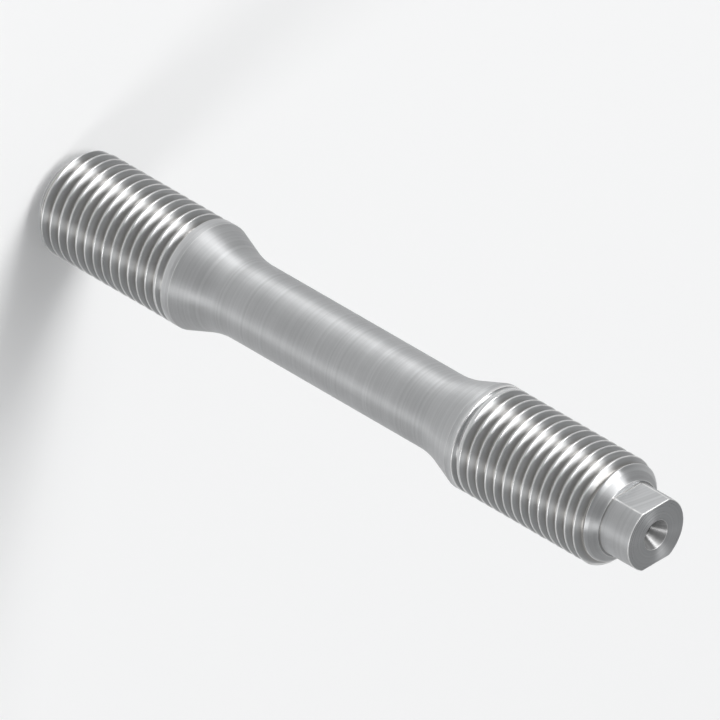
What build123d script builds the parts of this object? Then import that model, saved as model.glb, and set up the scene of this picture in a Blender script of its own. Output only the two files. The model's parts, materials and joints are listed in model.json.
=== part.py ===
from build123d import *
import math
import os

# A double ended stud with a reduced shank, turned in one piece from steel bar.
#
# Each end is a plain cylinder at the thread's crest diameter, where the fine
# right-hand thread is cut. Between the two the stud is waisted: from each
# thread a taper runs down into a large fillet, and the fillet into the shank.
# The upper end carries a short dog with two milled flats, by which the stud is
# held while it is driven in, and a centre hole. The lower end is plain.
#
# Millimetres. The stud stands on its plain end: the origin is the middle of
# that end's face, +Z runs along the axis, and the flats face +Y and -Y.

# ---- sizes that can be set ---------------------------------------------------

stud_length = 80.0  # between the end faces of the two threads, without the dog

thread_diameter = 12.0  # over the crests
threaded_length = 20.0  # at each end, its chamfer included
end_face_diameter = 8.5  # flat that the chamfer leaves on each end
chamfer_angle = 45.0  # from the axis

shank_diameter = 8.5
taper_angle = 20.0  # from the axis, thread down to shank
fillet_radius = 10.0  # between taper and shank

dog_diameter = 8.0
dog_length = 4.0
dog_across_flats = 7.0

centre_mouth_diameter = 3.35
centre_pilot_diameter = 1.6
centre_pilot_length = 2.0
centre_cone_angle = 60.0  # included, seats a lathe centre
pilot_point_angle = 120.0  # included, left by the drill's tip


def run_along_axis(rise, angle):
    """Length along the axis over which a line at this angle to it rises this much."""
    return rise / math.tan(math.radians(angle))


def end_outline():
    """Half section of one end, from the middle of its face to the middle of the shank."""
    thread_radius = thread_diameter / 2
    end_face_radius = end_face_diameter / 2
    shank_radius = shank_diameter / 2

    # The fillet is tangent to the shank, and meets the taper at the taper's own angle.
    turn = math.radians(taper_angle)
    taper_foot = shank_radius + fillet_radius * (1 - math.cos(turn))
    chamfer_end = run_along_axis(thread_radius - end_face_radius, chamfer_angle)
    taper_end = threaded_length + run_along_axis(thread_radius - taper_foot, taper_angle)
    shank_start = taper_end + fillet_radius * math.sin(turn)

    thread_and_taper = Polyline(
        (0, 0),
        (end_face_radius, 0),
        (thread_radius, chamfer_end),
        (thread_radius, threaded_length),
        (taper_foot, taper_end),
    )
    fillet_arc = RadiusArc((taper_foot, taper_end), (shank_radius, shank_start), fillet_radius)
    half_shank = Line((shank_radius, shank_start), (shank_radius, stud_length / 2))
    return Curve() + [thread_and_taper, fillet_arc, half_shank]


def turned_body():
    """Both threaded ends and the shank, as they leave the lathe."""
    lower_end = end_outline()
    upper_end = mirror(lower_end, Plane.XZ.offset(-stud_length / 2))
    axis_line = Line((0, 0), (0, stud_length))
    half_section = make_face(Curve() + [lower_end, upper_end, axis_line])
    return revolve(Plane.XZ * half_section, axis=Axis.Z)


def dog():
    """Round dog between two flats, standing on the origin."""
    on_floor = (Align.CENTER, Align.CENTER, Align.MIN)
    boss = Cylinder(dog_diameter / 2, dog_length, align=on_floor)
    between_flats = Box(dog_diameter, dog_across_flats, dog_length, align=on_floor)
    return boss & between_flats


def centre_hole():
    """What the centre drill takes out, with its mouth at the origin."""
    mouth = centre_mouth_diameter / 2
    pilot = centre_pilot_diameter / 2
    cone_depth = run_along_axis(mouth - pilot, centre_cone_angle / 2)
    pilot_depth = cone_depth + centre_pilot_length
    tip_depth = pilot_depth + run_along_axis(pilot, pilot_point_angle / 2)
    half_section = Polyline(
        (0, 0),
        (mouth, 0),
        (pilot, -cone_depth),
        (pilot, -pilot_depth),
        (0, -tip_depth),
        close=True,
    )
    return revolve(Plane.XZ * make_face(half_section), axis=Axis.Z)


def stud():
    """The turned body with its dog, drilled for the lathe centre."""
    upper_face = Pos(0, 0, stud_length)
    dog_face = Pos(0, 0, stud_length + dog_length)
    return turned_body() + upper_face * dog() - dog_face * centre_hole()


os.makedirs("parts", exist_ok=True)
export_step(stud(), "parts/stud.step")
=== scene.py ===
import json
import math

import bmesh
import bpy
import numpy as np
from mathutils import Matrix, Vector


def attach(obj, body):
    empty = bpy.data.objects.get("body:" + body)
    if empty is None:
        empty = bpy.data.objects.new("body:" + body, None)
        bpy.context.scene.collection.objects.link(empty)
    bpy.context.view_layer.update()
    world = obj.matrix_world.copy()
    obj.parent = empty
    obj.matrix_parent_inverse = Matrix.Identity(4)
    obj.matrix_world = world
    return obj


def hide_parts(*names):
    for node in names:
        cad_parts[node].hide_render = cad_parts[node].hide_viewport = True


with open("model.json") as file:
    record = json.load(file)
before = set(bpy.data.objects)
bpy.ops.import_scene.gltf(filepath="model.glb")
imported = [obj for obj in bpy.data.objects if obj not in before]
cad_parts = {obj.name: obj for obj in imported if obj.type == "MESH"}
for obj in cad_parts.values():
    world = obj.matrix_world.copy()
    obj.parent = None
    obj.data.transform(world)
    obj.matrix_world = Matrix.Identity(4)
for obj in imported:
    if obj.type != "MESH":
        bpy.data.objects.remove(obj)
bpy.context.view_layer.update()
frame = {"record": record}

# The finished double ended stud. The solid's plain cylinders become cut threads, every edge gets
# the small break that a turner leaves, and each surface the marks of the tool that made it.
# Metres, in the solid's own frame: the stud stands on its plain end, its axis along +Z.

MM = 0.001

# ---- sizes that the record states ----------------------------------------------------------

mounts = {mount["name"]: mount for mount in frame["record"]["mounts"]}
THREAD_RADIUS = mounts["lower_thread"]["dims"]["r_mm"] * MM
HALF_THREAD = mounts["lower_thread"]["dims"]["length_mm"] * MM / 2
CHAMFER_HEIGHT = mounts["lower_thread"]["pos_m"][2] - HALF_THREAD
THREAD_END = mounts["lower_thread"]["pos_m"][2] + HALF_THREAD
STUD_LENGTH = mounts["upper_thread"]["pos_m"][2] + HALF_THREAD + CHAMFER_HEIGHT
DOG_TOP = mounts["centre_hole"]["pos_m"][2]
FLAT_TO_AXIS = mounts["dog_flat_back"]["pos_m"][1]
MOUTH_RADIUS = mounts["centre_hole"]["dims"]["r_mm"] * MM

# ---- sizes of the solid that the record has no place for -----------------------------------

SHANK_RADIUS = 4.25 * MM
TAPER_ANGLE = math.radians(20)
FILLET_RADIUS = 10 * MM
DOG_RADIUS = 4 * MM
PILOT_RADIUS = 0.8 * MM
PILOT_LENGTH = 2 * MM
CONE_HALF_ANGLE = math.radians(30)
POINT_HALF_ANGLE = math.radians(60)

# ---- sizes of the finish -------------------------------------------------------------------

PITCH = 1.25 * MM
FLANK_ANGLE = math.radians(60)  # of a flank against the axis
THREAD_DEPTH = 0.61343 * PITCH
ROOT_RADIUS = 0.1443 * PITCH
CREST_WIDTH = PITCH / 8
CREST_RADIUS = THREAD_RADIUS - 0.067 * MM  # in the middle of what a 6g thread allows
RUN_OUT = 0.75  # of a turn, over which the cutter draws back
LAND = 0.6 * MM  # full ring left between the run-out and the taper
EDGE_BREAK = 0.12 * MM  # radius of the turned edges
FINE_EDGE = 0.05 * MM  # over which crests and thread starts lose their corner

DOG_ROOT = 0.1 * MM  # radius of the corner that the tool leaves at the dog's foot
CORNER_BREAK = 0.07 * MM  # over which the corners between flats and round sides are eased
HOLE_EDGE = 0.05 * MM  # radius of the centre hole's edges

FACE_RADIUS = THREAD_RADIUS - CHAMFER_HEIGHT
RIM_RADIUS = FACE_RADIUS - 0.09 * MM  # just inside the face's eased edge
THREAD_FROM = 0.75 * MM  # on the chamfer, under the first groove
THREAD_TO = THREAD_END - 0.25 * MM  # on the land, past the last groove

# ---- how closely the mesh is laid ----------------------------------------------------------

ROUND_STEPS = 16  # between the middle of the dog's round side and its corner
FLAT_STEPS = 8  # between its corner and the middle of its flat
CORNER_STEP = math.radians(0.9)  # between the five columns at a corner
LEAST_SINE = 0.1  # of a column's angle, where the flat is worked out
EDGE_STEPS = 5  # in the arc of an eased edge
WAIST_STEPS = 12  # in each arc between the thread and the shank
GUARD = 0.03 * MM  # from an arc's end to the next point of the straight side
SAME_PLACE = 0.00005 * MM  # vertices that are closer than this are one
OVERLAP = 1.6  # pitches that the thread's strip goes on past each of its ends
# Rows on each side of a groove's middle, in shares of the way to where it meets the crest.
HALF_GROOVE = np.array([0.10, 0.20, 0.286, 0.42, 0.57, 0.71, 0.85, 0.94, 1.0, 1.06])


# ---- the stud's surface --------------------------------------------------------------------


def column_angles():
    """Angles round the axis at which every ring has its vertices.

    A quarter has even steps over the dog's round side and over half of its flat, and between them
    a few close steps over their eased corner. The other three quarters mirror it.
    """
    corner = math.asin(FLAT_TO_AXIS / DOG_RADIUS)
    eased_corner = corner + CORNER_STEP * np.arange(-2, 3)
    round_side = np.linspace(0, corner, ROUND_STEPS + 1)[:-1]
    half_flat = np.linspace(corner, math.pi / 2, FLAT_STEPS + 1)[1:]
    quarter = np.concatenate([round_side, eased_corner, half_flat])
    half = np.concatenate([quarter, math.pi - quarter[-2:0:-1]])
    return np.concatenate([half, half + math.pi])


ANGLES = column_angles()
COLUMNS = len(ANGLES)


def smooth_min(a, b, width):
    """The smaller of a and b, less a parabola of a quarter of width where the two are equal."""
    blend = np.clip(1 - np.abs(a - b) / width, 0, None)
    return np.minimum(a, b) - width / 4 * blend**2


def eased(corners, steps=EDGE_STEPS):
    """Outline through corners of (radius, height, round), with an arc of that radius at each.

    The arc touches both straight sides, round * tan(half the turn) from the corner. Its points
    turn evenly about its centre, which lies on the corner's bisector at round / cos(half turn).
    One more point lies GUARD away from each of its ends, so that the straight sides shade flat.
    Returns the outline and each point's mark: 0 from an arc's ends on, and in its middle 1 on an
    outer corner and -1 in an inner one. An arc as large as a fillet has no mark.
    """
    corners = np.array(corners)
    places = corners[:, :2]
    outline, mark = [places[:1]], [[0]]
    for index in range(1, len(corners) - 1):
        size = corners[index, 2]
        to_last = places[index - 1] - places[index]
        to_next = places[index + 1] - places[index]
        to_last = to_last / np.linalg.norm(to_last)
        to_next = to_next / np.linalg.norm(to_next)
        half_turn = (math.pi - math.acos(to_last @ to_next)) / 2
        inward = (to_last + to_next) / np.linalg.norm(to_last + to_next)
        along = (to_next - to_last) / np.linalg.norm(to_next - to_last)
        outer = np.sign(to_last[1] * to_next[0] - to_last[0] * to_next[1]) * (size < FILLET_RADIUS)
        share = np.linspace(-1, 1, steps + 1)
        turned = half_turn * share[:, None]
        centre = places[index] + inward * size / math.cos(half_turn)
        arc = centre + size * (np.sin(turned) * along - np.cos(turned) * inward)
        outline += [arc[:1] + GUARD * to_last, arc, arc[-1:] + GUARD * to_next]
        mark += [[0], outer * (1 - share**2), [0]]
    return np.concatenate(outline + [places[-1:]]), np.concatenate(mark + [[0]])


def dog_section():
    """The dog's radius at each column, and its edge share: 1 on the corners, 0 away from them.

    The radius is the lesser of the round side's and the flat's, and is blended where the two
    meet. The flat's is its distance from the axis over the sine of the angle. The sine is held at
    LEAST_SINE where it is lower, because the flat is far outside the round side there.
    """
    flat = FLAT_TO_AXIS / np.maximum(np.abs(np.sin(ANGLES)), LEAST_SINE)
    corner = np.clip(1 - np.abs(flat - DOG_RADIUS) / CORNER_BREAK, 0, 1)
    return smooth_min(flat, DOG_RADIUS, CORNER_BREAK), corner


def ring_mesh(outline, mark, dog_share=0):
    """Rings stacked along an outline of (radius, height), which runs with the steel on its left.

    A vertex lies at its column's angle. Its radius is the outline's, less dog_share times the
    depth by which the dog's section is cut into its round at that angle: 0 keeps the ring round
    and 1 gives it the dog's section. Rings on the dog's sides have its corners as edges.
    """
    section, corner = dog_section()
    dog_share = np.reshape(dog_share, (-1, 1))
    radius = outline[:, :1] - dog_share * (DOG_RADIUS - section)
    side = (dog_share == 1) & np.isclose(outline[:, :1], DOG_RADIUS, rtol=0, atol=SAME_PLACE)
    mark = np.broadcast_to(np.reshape(mark, (-1, 1)), radius.shape)
    edge = np.maximum(mark, corner * side)
    height = np.broadcast_to(outline[:, 1:], radius.shape)
    places = np.stack([radius * np.cos(ANGLES), radius * np.sin(ANGLES), height], axis=-1)
    column = np.arange(COLUMNS)
    here = np.arange(len(outline) - 1)[:, None] * COLUMNS + column
    beside = here + (column + 1) % COLUMNS - column
    quads = np.stack([here, beside, beside + COLUMNS, here + COLUMNS], axis=-1)
    marks = {"groove": np.maximum(-mark, 0).ravel(), "edge": np.maximum(edge, 0).ravel()}
    return places.reshape(-1, 3), quads.reshape(-1, 4), marks


def groove_wall(offset):
    """Height of the groove's wall over its bottom at an offset along the axis from its middle.

    It is the root's circle out to where that leans by the flank's angle, and then the flank.
    """
    arc_end = ROOT_RADIUS * math.sin(FLANK_ANGLE)
    arc = ROOT_RADIUS - np.sqrt(ROOT_RADIUS**2 - np.minimum(np.abs(offset), arc_end) ** 2)
    return arc + np.clip(np.abs(offset) - arc_end, 0, None) * math.tan(FLANK_ANGLE)


def groove_mouth(depth):
    """Offset at which a groove of this depth reaches the crest: groove_wall read backwards."""
    arc_height = ROOT_RADIUS * (1 - math.cos(FLANK_ANGLE))
    over_arc = np.clip(depth - arc_height, 0, None)
    left = ROOT_RADIUS - np.clip(depth, 0, arc_height)
    return np.sqrt(ROOT_RADIUS**2 - left**2) + over_arc / math.tan(FLANK_ANGLE)


def thread_mesh():
    """The lower end's thread, from its start on the chamfer to the land behind it.

    The surface is one strip, a pitch wide, wound up the axis: at the angle a the groove's middle
    is at height a * pitch / a full turn. Across the strip the rows go from the middle of one
    crest over the groove, spaced as HALF_GROOVE says and closer at its edges, and the last row
    joins the first a turn later. The radius is the least of the crest, the groove's wall and the
    chamfer. Over the run-out the cutter draws back until it is clear of the crest. Heights
    outside THREAD_FROM and THREAD_TO are moved there, where the neighbouring rings begin, and
    the faces this flattens are dropped.
    """
    turns = math.ceil((THREAD_TO - THREAD_FROM) / PITCH + 2 * OVERLAP)
    angle = (ANGLES + 2 * math.pi * np.arange(turns)[:, None]).reshape(-1, 1)
    middle = THREAD_FROM - OVERLAP * PITCH + PITCH * angle / (2 * math.pi)

    left_to_cut = (THREAD_END - LAND - middle) / (RUN_OUT * PITCH)
    clear = 2 * FINE_EDGE
    depth = np.clip(left_to_cut, 0, 1) * (THREAD_DEPTH + clear) - clear
    mouth = np.maximum(groove_mouth(depth), CREST_WIDTH)
    offset = mouth * np.concatenate([-HALF_GROOVE[::-1], [0], HALF_GROOVE])
    offset = np.concatenate([np.full_like(middle, -PITCH / 2), offset], axis=1)

    height = np.clip(middle + offset, THREAD_FROM, THREAD_TO)
    wall = CREST_RADIUS - depth + groove_wall(offset)
    cut = smooth_min(wall, CREST_RADIUS, FINE_EDGE)
    chamfer = FACE_RADIUS + height
    radius = smooth_min(cut, chamfer, FINE_EDGE)
    places = np.stack([radius * np.cos(angle), radius * np.sin(angle), height], axis=-1)
    kept = np.clip((chamfer - cut) / FINE_EDGE, 0, 1)  # 0 where the chamfer took the thread away
    groove = kept * (CREST_RADIUS - cut) / THREAD_DEPTH
    crest_edge = kept * np.clip(1 - np.abs(wall - CREST_RADIUS) / (2 * FINE_EDGE), 0, 1)
    start_edge = np.clip(1 - np.abs(chamfer - cut) / (2 * FINE_EDGE), 0, 1)
    edge = np.maximum(crest_edge, start_edge)

    rows = offset.shape[1]
    column = np.arange(len(angle) - COLUMNS - 1)[:, None]
    here = column * rows + np.arange(rows)
    above = np.concatenate([here[:, 1:], (column + COLUMNS) * rows], axis=1)
    quads = np.stack([here, here + rows, above + rows, above], axis=-1)
    marks = {"groove": groove.ravel(), "edge": edge.ravel()}
    return places.reshape(-1, 3), quads.reshape(-1, 4), marks


def threaded_end():
    """One end without its face, standing at the origin: chamfer, thread, taper and half shank."""
    chamfer = eased(
        [
            (RIM_RADIUS, 0, 0),
            (FACE_RADIUS, 0, EDGE_BREAK),
            (FACE_RADIUS + THREAD_FROM, THREAD_FROM, 0),
        ]
    )
    # Where the taper's line starts at the crest, and where it would reach the shank.
    rise = math.tan(TAPER_ANGLE)
    taper_from = THREAD_END + (THREAD_RADIUS - CREST_RADIUS) / rise
    taper_to = THREAD_END + (THREAD_RADIUS - SHANK_RADIUS) / rise
    waist = eased(
        [
            (CREST_RADIUS, THREAD_TO, 0),
            (CREST_RADIUS, taper_from, EDGE_BREAK),
            (SHANK_RADIUS, taper_to, FILLET_RADIUS),
            (SHANK_RADIUS, STUD_LENGTH / 2, 0),
        ],
        steps=WAIST_STEPS,
    )
    return [ring_mesh(*chamfer), thread_mesh(), ring_mesh(*waist)]


def turned_over(part):
    """The part turned half round about a line across the middle of the stud's length."""
    places, quads, marks = part
    return places * [1, -1, -1] + [0, 0, STUD_LENGTH], quads, marks


def plain_face():
    """The lower end's face, from its middle to the rim."""
    return ring_mesh(np.array([[0, 0], [RIM_RADIUS, 0]]), [0, 0])


def dog_and_centre_hole():
    """From the upper rim inwards: the face round the dog, the dog, its end and the centre hole."""
    cone_to = DOG_TOP - (MOUTH_RADIUS - PILOT_RADIUS) / math.tan(CONE_HALF_ANGLE)
    pilot_to = cone_to - PILOT_LENGTH
    point = pilot_to - PILOT_RADIUS / math.tan(POINT_HALF_ANGLE)
    outline, mark = eased(
        [
            (RIM_RADIUS, STUD_LENGTH, 0),
            (DOG_RADIUS, STUD_LENGTH, DOG_ROOT),
            (DOG_RADIUS, DOG_TOP, EDGE_BREAK),
            (MOUTH_RADIUS, DOG_TOP, HOLE_EDGE),
            (PILOT_RADIUS, cone_to, HOLE_EDGE),
            (PILOT_RADIUS, pilot_to, HOLE_EDGE),
            (0, point, 0),
        ]
    )
    # Round at the hole and at the rim, and the dog's section on its sides and where they end.
    round_hole = MOUTH_RADIUS + HOLE_EDGE
    sides_from = DOG_RADIUS - 2 * EDGE_BREAK
    sides_to = DOG_RADIUS + DOG_ROOT
    radii = [round_hole, sides_from, sides_to, RIM_RADIUS]
    dog_share = np.interp(outline[:, 0], radii, [0, 1, 1, 0])
    return ring_mesh(outline, mark, dog_share)


def joined(name, parts):
    """One closed mesh of all parts, with coinciding vertices merged and their marks kept."""
    starts = np.cumsum([0] + [len(places) for places, quads, marks in parts])
    places = np.concatenate([places for places, quads, marks in parts])
    quads = np.concatenate([part[1] + start for part, start in zip(parts, starts)])
    mesh = bpy.data.meshes.new(name)
    mesh.vertices.add(len(places))
    mesh.vertices.foreach_set("co", places.ravel())
    mesh.loops.add(quads.size)
    mesh.loops.foreach_set("vertex_index", quads.ravel())
    mesh.polygons.add(len(quads))
    mesh.polygons.foreach_set("loop_start", np.arange(0, quads.size, 4))
    mesh.update(calc_edges=True)
    for mark in ("groove", "edge"):
        values = np.concatenate([marks[mark] for places, quads, marks in parts])
        mesh.attributes.new(mark, "FLOAT", "POINT").data.foreach_set("value", values)
    merged = bmesh.new()
    merged.from_mesh(mesh)
    bmesh.ops.remove_doubles(merged, verts=merged.verts, dist=SAME_PLACE)
    merged.to_mesh(mesh)
    merged.free()
    mesh.shade_smooth()
    return mesh


def stud_mesh():
    """The whole stud: two threaded ends back to back, with a plain face and with the dog."""
    lower_end = threaded_end()
    upper_end = [turned_over(part) for part in threaded_end()]
    return joined("stud_finished", lower_end + upper_end + [plain_face(), dog_and_centre_hole()])


# ---- steel ---------------------------------------------------------------------------------


class Nodes:
    """Short ways to place and link the nodes of one material or group."""

    def __init__(self, tree):
        self.tree = tree

    def add(self, kind, settings=None, **values):
        """A node of this kind, with its settings, and its named inputs set or linked."""
        node = self.tree.nodes.new(kind)
        for setting, value in (settings or {}).items():
            setattr(node, setting, value)
        for name, value in values.items():
            self.feed(node.inputs[name.replace("_", " ")], value)
        return node

    def feed(self, socket, value):
        """Links an output to the socket, or sets the socket's own value."""
        if isinstance(value, bpy.types.NodeSocket):
            self.tree.links.new(value, socket)
        else:
            socket.default_value = value

    def math(self, operation, *values, clamp=False):
        """One step of arithmetic, and its result."""
        node = self.add("ShaderNodeMath", {"operation": operation, "use_clamp": clamp})
        for socket, value in zip(node.inputs, values):
            self.feed(socket, value)
        return node.outputs[0]

    def distance(self, first, second):
        """The root of the sum of the two squares."""
        squares = [self.math("POWER", side, 2) for side in (first, second)]
        return self.math("SQRT", self.math("ADD", *squares))

    def blend(self, share, first, second):
        """The colour that goes from first to second as share goes from 0 to 1."""
        node = self.add("ShaderNodeMix", {"data_type": "RGBA"})
        # The sockets for a share and two colours, between those for other kinds of mix.
        for index, value in ((0, share), (6, first), (7, second)):
            self.feed(node.inputs[index], value)
        return node.outputs[2]

    def spread(self, value, source, target=(0, 1)):
        """The value moved in a straight line from the source range to the target and held there."""
        node = self.add("ShaderNodeMapRange", Value=value)
        limits = ("From Min", "From Max", "To Min", "To Max")
        for name, limit in zip(limits, (*source, *target)):
            node.inputs[name].default_value = limit
        return node.outputs[0]

    def noise(self, place, scale, detail=2, along=False):
        """Soft noise round 0.5 over a place, or along one number, with scale changes to a unit."""
        settings = {"noise_dimensions": "1D" if along else "3D"}
        values = {"W" if along else "Vector": place, "Scale": scale, "Detail": detail}
        return self.add("ShaderNodeTexNoise", settings, **values).outputs[0]

    def group(self, tree, **values):
        """The outputs of a placed node group whose inputs are given."""
        return self.add("ShaderNodeGroup", {"node_tree": tree}, **values).outputs


def effect(name, inputs, outputs):
    """An empty node group with number or vector inputs and number outputs, ready to fill."""
    tree = bpy.data.node_groups.new(name, "ShaderNodeTree")
    for socket, kind in inputs.items():
        tree.interface.new_socket(socket, in_out="INPUT", socket_type=kind)
    for socket in outputs:
        tree.interface.new_socket(socket, in_out="OUTPUT", socket_type="NodeSocketFloat")
    nodes = Nodes(tree)
    return nodes, nodes.add("NodeGroupInput").outputs, nodes.add("NodeGroupOutput").inputs


NUMBER = "NodeSocketFloat"
PLACE = "NodeSocketVector"

# Places and lengths in the effects are in millimetres. A pair is the range of a noise or a mark
# over which what follows from it goes from none to all.

WAVE = 0.2  # height of the tool's even wave, which its uneven depth is added to
HAIRLINE_ROOM = 0.8  # share of a strip over which its hairline may lie
HAIRLINE_HALF = 0.02  # from the middle of a hairline to where it ends
STRIP_SHIFT = 500  # sets the noise along a hairline far from its neighbours'
HAIRLINE_SHOWS = (0.62, 0.72)
FILM_SHOWS = (0.42, 0.66)
SOFT = (0.3, 0.7)  # where soft noise mostly lies
# Patches of edge rubbed bright, which also carry a painted highlight along the edge.
RUBBED_AND_HIGHLIGHT = (0.45, 1.3)  # of the edge mark, in the least and the most rubbed patches


def tool_marks():
    """Fine lines that a cutting tool leaves side by side along its feed.

    Ridge runs about from 0 to 1 across each line, uneven in depth. Band is the slow change from
    one stretch of the cut to the next, and Line the quicker one between neighbouring lines.
    """
    inputs = {"Along": NUMBER, "Feed": NUMBER, "Place": PLACE}
    nodes, given, out = effect("tool_marks", inputs, ["Ridge", "Line", "Band"])
    sway = nodes.noise(given["Place"], scale=0.25)
    wander = nodes.math("MULTIPLY", sway, given["Feed"])
    along = nodes.math("ADD", given["Along"], wander)
    turns = nodes.math("DIVIDE", along, given["Feed"])
    wave = nodes.math("SINE", nodes.math("MULTIPLY", turns, 2 * math.pi))
    uneven = nodes.noise(turns, scale=0.8, detail=6, along=True)
    nodes.feed(out["Ridge"], nodes.math("MULTIPLY_ADD", wave, WAVE, uneven))
    nodes.feed(out["Line"], nodes.noise(along, scale=3.1, detail=5, along=True))
    nodes.feed(out["Band"], nodes.noise(along, scale=0.55, detail=3, along=True))
    return nodes.tree


def hairlines(nodes, place, turn, spacing):
    """Straight hairlines in one direction, one in each strip as wide as the spacing.

    A strip's own random number says where in the strip its line lies and which short lengths of
    it are there at all.
    """
    turned = nodes.add("ShaderNodeMapping", Vector=place, Rotation=turn).outputs[0]
    turned = nodes.add("ShaderNodeSeparateXYZ", Vector=turned).outputs
    strips = nodes.math("DIVIDE", turned["X"], spacing)
    strip = nodes.math("FLOOR", strips)
    number = nodes.add("ShaderNodeTexWhiteNoise", {"noise_dimensions": "1D"}, W=strip)
    chance = number.outputs["Value"]

    line = nodes.math("MULTIPLY_ADD", chance, HAIRLINE_ROOM, (1 - HAIRLINE_ROOM) / 2)
    away = nodes.math("SUBTRACT", nodes.math("FRACT", strips), line)
    away = nodes.math("MULTIPLY", nodes.math("ABSOLUTE", away), spacing)
    inside = nodes.spread(away, (0, HAIRLINE_HALF), (1, 0))

    along = nodes.math("MULTIPLY_ADD", chance, STRIP_SHIFT, turned["Y"])
    lengths = nodes.noise(along, scale=0.8, detail=1, along=True)
    return nodes.math("MULTIPLY", inside, nodes.spread(lengths, HAIRLINE_SHOWS))


def handling():
    """What touch and storage leave: Smudge, a thin uneven film, and Scratch, a few hairlines."""
    nodes, given, out = effect("handling", {"Place": PLACE}, ["Smudge", "Scratch"])
    film = nodes.noise(given["Place"], scale=0.16, detail=4)
    nodes.feed(out["Smudge"], nodes.spread(film, FILM_SHOWS))
    first = hairlines(nodes, given["Place"], turn=(0.3, 0.5, 0.2), spacing=0.9)
    second = hairlines(nodes, given["Place"], turn=(1.1, 0.2, 0.9), spacing=0.6)
    nodes.feed(out["Scratch"], nodes.math("MAXIMUM", first, second))
    return nodes.tree


def edge_wear():
    """The output is 1 where an edge is rubbed bright and carries a painted highlight. It follows the
    edge mark, broken up by noise.
    """
    nodes, given, out = effect("edge_wear", {"Edge": NUMBER, "Place": PLACE}, ["Wear"])
    patches = nodes.noise(given["Place"], scale=1.3, detail=4)
    wear_and_highlight_patches = nodes.spread(patches, SOFT, RUBBED_AND_HIGHLIGHT)
    nodes.feed(out["Wear"], nodes.math("MULTIPLY", given["Edge"], wear_and_highlight_patches, clamp=True))
    return nodes.tree


effects = {"marks": tool_marks(), "handling": handling(), "wear": edge_wear()}

STEEL = (0.52, 0.525, 0.53)
# Steel darkened as painted shade inside the centre hole.
HOLE_STEEL_PAINTED_SHADE = (0.44, 0.44, 0.44)
# Steel rubbed bright at the edges, with a painted highlight along them.
BRIGHT_WEAR_AND_HIGHLIGHT = (0.80, 0.80, 0.79, 1)
# Cutting oil and painted shade at the bottoms of grooves and in inner corners.
OIL_AND_SHADE = (0.30, 0.28, 0.25, 1)

DARKEST = 0.86  # of the steel's colour, in the darkest lines of a cut
LIGHTEST = 1.10  # and in the lightest
LINE_TONE = 0.6  # weight of the quick change in a cut's tone
BAND_TONE = 0.4  # and of the slow one
# The oil and painted shade come in over this range of a groove's depth, and hide this much of the
# steel at its bottom.
OIL_AND_SHADE_DEPTH = (0.35, 1)  # of a groove
OIL_AND_SHADE_AMOUNT = 0.6  # how much it hides the steel at the groove's bottom
LINE_ROUGHNESS = 0.06  # that the lightest lines of a cut add and the darkest take away
FILM_ROUGHNESS = 0.06  # that the film adds
RUBBED_ROUGHNESS = -0.08  # that a rubbed edge adds
SCRATCH_HEIGHT = -0.4  # of a hairline, in the height of the marks
DRAWN_OUT = 0.9  # how far lines round the axis draw the gloss out across them
QUARTER_TURN = 0.25  # of the gloss, from along the lines to across them
ARC_X = 5  # millimetres from the axis towards -X to the middle of the milling cutter's arcs
ARC_Z = 60  # millimetres from the stud's foot up to that middle
SQUARE = 0.99  # least share of a normal along an axis, for a face that lies square to it


def across_marks(nodes, place, along):
    """The coordinate in millimetres that grows from one tool mark to the next.

    It is the height where along is z, the distance from the axis where it is radius, and the
    distance from the middle of the milling cutter's arcs where it is arc.
    """
    split = nodes.add("ShaderNodeSeparateXYZ", Vector=place).outputs
    if along == "z":
        return split["Z"]
    if along == "radius":
        return nodes.distance(split["X"], split["Y"])
    sideways = nodes.math("ADD", split["X"], ARC_X)
    upward = nodes.math("SUBTRACT", split["Z"], ARC_Z)
    return nodes.distance(sideways, upward)


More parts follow.
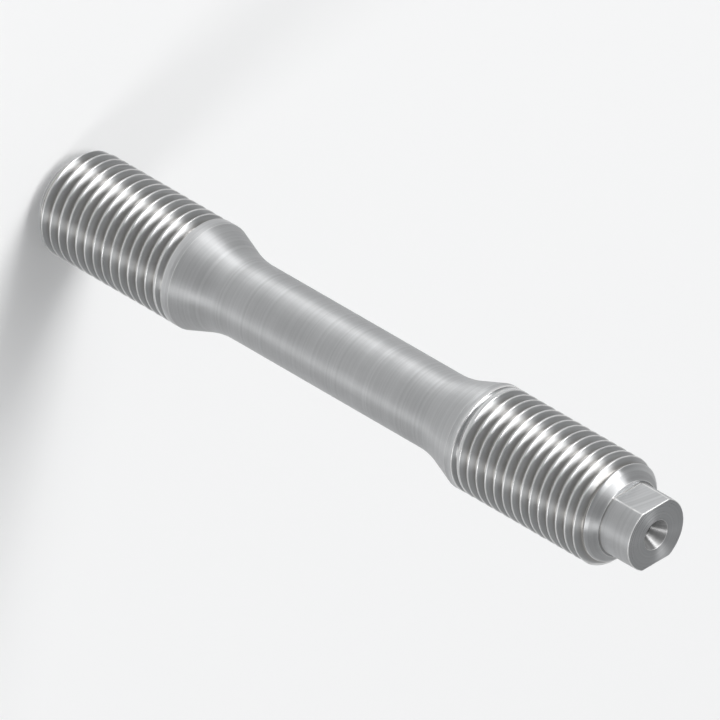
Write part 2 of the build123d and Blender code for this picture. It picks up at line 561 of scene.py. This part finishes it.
def steel(name, colour, roughness, along, feed, relief):
    """Bare steel cut by one tool: its marks, a film, hairlines, rubbed edges brightened partly as
    painted highlight, and oil with painted shade in grooves and inner corners.

    along picks the coordinate across the marks, feed is the distance between two of them in
    millimetres, and relief is their height in metres.
    """
    material = bpy.data.materials.new(name)
    material.use_nodes = True
    nodes = Nodes(material.node_tree)
    shader = material.node_tree.nodes["Principled BSDF"]
    metres = nodes.add("ShaderNodeTexCoord").outputs["Object"]
    scaled = nodes.add("ShaderNodeVectorMath", {"operation": "SCALE"}, Vector=metres, Scale=1 / MM)
    place = scaled.outputs[0]
    across = across_marks(nodes, place, along)
    edge = nodes.add("ShaderNodeAttribute", {"attribute_name": "edge"}).outputs["Fac"]
    groove = nodes.add("ShaderNodeAttribute", {"attribute_name": "groove"}).outputs["Fac"]

    marks = nodes.group(effects["marks"], Along=across, Feed=feed, Place=place)
    touch = nodes.group(effects["handling"], Place=place)
    wear = nodes.group(effects["wear"], Edge=edge, Place=place)["Wear"]

    dark = tuple(channel * DARKEST for channel in colour) + (1,)
    light = tuple(channel * LIGHTEST for channel in colour) + (1,)
    quick = nodes.math("MULTIPLY", marks["Line"], LINE_TONE)
    slow = nodes.math("MULTIPLY", marks["Band"], BAND_TONE)
    tone = nodes.math("ADD", quick, slow)
    shade = nodes.blend(nodes.spread(tone, SOFT), dark, light)
    # Oil and painted shade darken the grooves' bottoms and the inner corners.
    shade = nodes.blend(nodes.spread(groove, OIL_AND_SHADE_DEPTH, (0, OIL_AND_SHADE_AMOUNT)), shade, OIL_AND_SHADE)
    # Edges rubbed bright, with a painted highlight on them.
    shade = nodes.blend(wear, shade, BRIGHT_WEAR_AND_HIGHLIGHT)
    nodes.feed(shader.inputs["Base Color"], shade)

    swing = (roughness - LINE_ROUGHNESS, roughness + LINE_ROUGHNESS)
    rough = nodes.spread(tone, SOFT, swing)
    rough = nodes.math("MULTIPLY_ADD", touch["Smudge"], FILM_ROUGHNESS, rough)
    rough = nodes.math("MULTIPLY_ADD", wear, RUBBED_ROUGHNESS, rough)
    nodes.feed(shader.inputs["Roughness"], rough)
    shader.inputs["Metallic"].default_value = 1
    if along != "arc":
        # These lines run round the axis, and rubbed edges have lost them.
        drawn_out = nodes.math("MULTIPLY_ADD", edge, -DRAWN_OUT, DRAWN_OUT)
        nodes.feed(shader.inputs["Anisotropic"], drawn_out)
        shader.inputs["Anisotropic Rotation"].default_value = QUARTER_TURN
        tangent = nodes.add("ShaderNodeTangent", {"direction_type": "RADIAL", "axis": "Z"})
        nodes.feed(shader.inputs["Tangent"], tangent.outputs[0])

    height = nodes.math("MULTIPLY_ADD", touch["Scratch"], SCRATCH_HEIGHT, marks["Ridge"])
    bump = nodes.add("ShaderNodeBump", Height=height, Distance=relief)
    nodes.feed(shader.inputs["Normal"], bump.outputs[0])
    return material


def turned_steel():
    """Shank, tapers, chamfers and the dog's round sides: rings left by the turning tool."""
    return steel("turned_steel", STEEL, roughness=0.48, along="z", feed=0.16, relief=0.004 * MM)


def faced_steel():
    """End faces: rings left by the tool as it is fed inwards."""
    return steel("faced_steel", STEEL, roughness=0.28, along="radius", feed=0.14, relief=0.004 * MM)


def thread_steel():
    """Threads: lines along the flanks, and a little cutting oil with painted shade in the grooves."""
    return steel("thread_steel", STEEL, roughness=0.33, along="z", feed=0.07, relief=0.002 * MM)


def milled_steel():
    """The dog's flats: wide arcs left by the milling cutter."""
    return steel("milled_steel", STEEL, roughness=0.34, along="arc", feed=0.22, relief=0.0025 * MM)


def drilled_steel():
    """The centre hole: rings left by the centre drill, on steel darkened as painted shade."""
    return steel("drilled_steel", HOLE_STEEL_PAINTED_SHADE, roughness=0.38, along="z", feed=0.09, relief=0.003 * MM)


def finish_faces(mesh):
    """Gives each face the steel of the tool that cut it, found from where it lies and faces."""
    count = len(mesh.polygons)
    centre = np.empty(count * 3)
    facing = np.empty(count * 3)
    mesh.polygons.foreach_get("center", centre)
    mesh.polygons.foreach_get("normal", facing)
    x, y, z = centre.reshape(-1, 3).T
    normal = np.abs(facing.reshape(-1, 3).T)
    radius = np.hypot(x, y)
    from_end = np.minimum(z, STUD_LENGTH - z)
    for material in (turned_steel, faced_steel, thread_steel, milled_steel, drilled_steel):
        mesh.materials.append(material())
    faced = normal[2] > SQUARE
    threaded = (from_end > THREAD_FROM) & (from_end < THREAD_TO) & (radius > SHANK_RADIUS)
    milled = (z > STUD_LENGTH) & (normal[1] > SQUARE)
    drilled = (z > STUD_LENGTH / 2) & (radius < MOUTH_RADIUS)
    # The first that holds counts. Its number is its steel's place above, from 0 for the turned.
    tool = np.select([drilled, milled, threaded, faced], [4, 3, 2, 1], default=0)
    mesh.polygons.foreach_set("material_index", tool)


# ---- the set -------------------------------------------------------------------------------

VIEW_WIDTH = 72.95 * MM  # what the camera sees from side to side, at the stud's middle
LENS = 1500  # millimetres, long enough to keep parallel lines parallel
SENSOR = 36  # millimetres across
AIM_UP = 0.45 * MM  # from the stud's middle to the camera's aim, along the camera's up
AIM_RIGHT = -0.05 * MM  # and along its right

FLOOR_HALF = 3.0  # metres from the floor's middle to each of its sides
FLOOR_HEIGHT = -0.02 * MM  # clear of the stud's foot
FLOOR_COLOUR = (0.92, 0.92, 0.92, 1)
TOUCHING = 0.3 * MM  # reflections from nearer than this leave the floor out

HORIZON = (0.84, 0.84, 0.84, 1)
OVERHEAD = (0.36, 0.365, 0.37, 1)
OVERHEAD_FROM = 0.5  # sine of the height above the horizon

MIDDLE = Vector((0, 0, DOG_TOP / 2))


def camera():
    """Looks down evenly between +X, -Y and +Z, rolled so that the axis runs to the lower right."""
    right = Vector((-1, 0, 1)).normalized()
    up = Vector((-1, -2, -1)).normalized()
    back = right.cross(up)
    aim = MIDDLE + up * AIM_UP + right * AIM_RIGHT
    data = bpy.data.cameras.new("camera")
    data.sensor_width = SENSOR
    data.lens = LENS
    distance = VIEW_WIDTH * LENS / SENSOR
    data.clip_start = distance / 10
    data.clip_end = distance * 10
    seen_from = bpy.data.objects.new("camera", data)
    turn = Matrix((right, up, back)).transposed().to_4x4()
    seen_from.matrix_world = Matrix.Translation(aim + back * distance) @ turn
    bpy.context.collection.objects.link(seen_from)
    bpy.context.scene.camera = seen_from


def soft_lamp(name, place, size, power):
    """A soft light of this width and height, turned towards the middle of the stud."""
    data = bpy.data.lights.new(name, "AREA")
    data.shape = "RECTANGLE"
    data.size, data.size_y = size
    data.energy = power
    lamp = bpy.data.objects.new(name, data)
    towards = MIDDLE - Vector(place)
    turn = towards.to_track_quat("-Z", "Y").to_matrix().to_4x4()
    lamp.matrix_world = Matrix.Translation(place) @ turn
    lamp.visible_camera = False
    bpy.context.collection.objects.link(lamp)


def floor_paper():
    """Matt pale paper.

    It is clear to whoever looks up from underneath, and to what the stud's foot reflects of it
    from less than TOUCHING, so that the end which stands on it can be seen too.
    """
    material = bpy.data.materials.new("floor_paper")
    material.use_nodes = True
    nodes = Nodes(material.node_tree)
    paper = material.node_tree.nodes["Principled BSDF"]
    paper.inputs["Base Color"].default_value = FLOOR_COLOUR
    paper.inputs["Roughness"].default_value = 0.9
    paper.inputs["Specular IOR Level"].default_value = 0.1
    clear = nodes.add("ShaderNodeBsdfTransparent").outputs[0]
    under = nodes.add("ShaderNodeNewGeometry").outputs["Backfacing"]
    length = nodes.add("ShaderNodeLightPath").outputs["Ray Length"]
    touching = nodes.math("LESS_THAN", length, TOUCHING)
    mix = nodes.add("ShaderNodeMixShader", Fac=nodes.math("MAXIMUM", under, touching))
    nodes.feed(mix.inputs[1], paper.outputs[0])
    nodes.feed(mix.inputs[2], clear)
    nodes.feed(material.node_tree.nodes["Material Output"].inputs["Surface"], mix.outputs[0])
    return material


def floor():
    """A plain pale floor just under the stud: one square face, FLOOR_HALF out on every side."""
    signs = [(-1, -1), (1, -1), (1, 1), (-1, 1)]
    corners = [(x * FLOOR_HALF, y * FLOOR_HALF, FLOOR_HEIGHT) for x, y in signs]
    mesh = bpy.data.meshes.new("floor")
    mesh.from_pydata(corners, [], [(0, 1, 2, 3)])
    mesh.materials.append(floor_paper())
    sheet = bpy.data.objects.new("floor", mesh)
    bpy.context.collection.objects.link(sheet)


def studio_light():
    """A pale room that gets dimmer overhead, where a large soft key and a weak fill hang."""
    world = bpy.data.worlds.new("studio")
    bpy.context.scene.world = world
    world.use_nodes = True
    nodes = Nodes(world.node_tree)
    direction = nodes.add("ShaderNodeTexCoord").outputs["Generated"]
    height = nodes.add("ShaderNodeSeparateXYZ", Vector=direction).outputs["Z"]
    room = nodes.blend(nodes.spread(height, (0, OVERHEAD_FROM)), HORIZON, OVERHEAD)
    nodes.feed(world.node_tree.nodes["Background"].inputs["Color"], room)
    soft_lamp("key", place=(-0.72, -1.4, 1.85), size=(0.9, 2.6), power=47)
    soft_lamp("fill", place=(2.2, 0.6, 1.5), size=(0.8, 2.0), power=13)


stud = bpy.data.objects.new("stud_finished", stud_mesh())
bpy.context.collection.objects.link(stud)
finish_faces(stud.data)
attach(stud, "root")
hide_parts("stud")

floor()
camera()
studio_light()
bpy.context.scene.view_settings.view_transform = "Standard"
